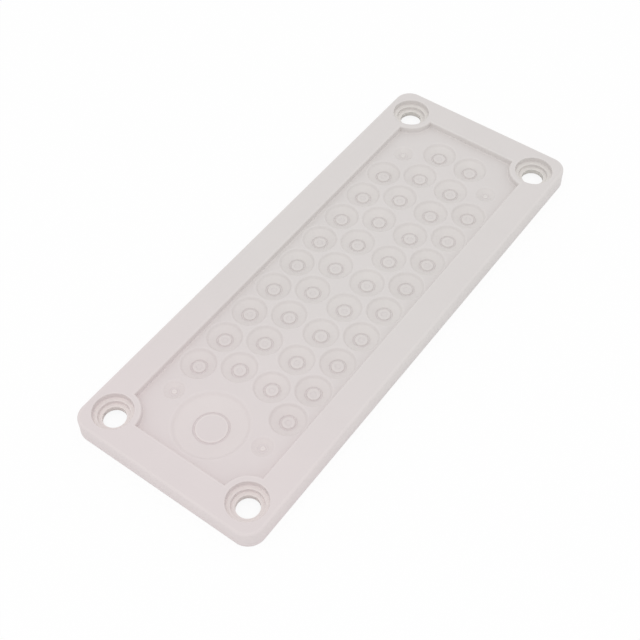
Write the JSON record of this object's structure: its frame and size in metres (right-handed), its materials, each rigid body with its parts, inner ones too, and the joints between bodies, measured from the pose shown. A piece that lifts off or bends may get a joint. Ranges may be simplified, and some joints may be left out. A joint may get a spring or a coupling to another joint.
{
  "type": "membrane cable entry plate",
  "caption": "Flat grey elastomer plate with a raised rounded frame, stepped screw holes at its corners and a recessed web of funnel-shaped membranes that seal round cables pushed through.",
  "frame": {"origin": "middle of the plate's outline, on the plane that the foot of the sealing lip stands on", "axes": "+X across the plate, +Y along it away from the large funnel, +Z out of the top face that carries the recess"},
  "size_m": [0.097, 0.2522, 0.0095],
  "materials": {
    "elastomer": "matt moulded elastomer in a light warm grey, with a very fine spark-eroded grain"
  },
  "bodies": {
    "root": {"entry_plate": "elastomer"}
  },
  "joints": []
}
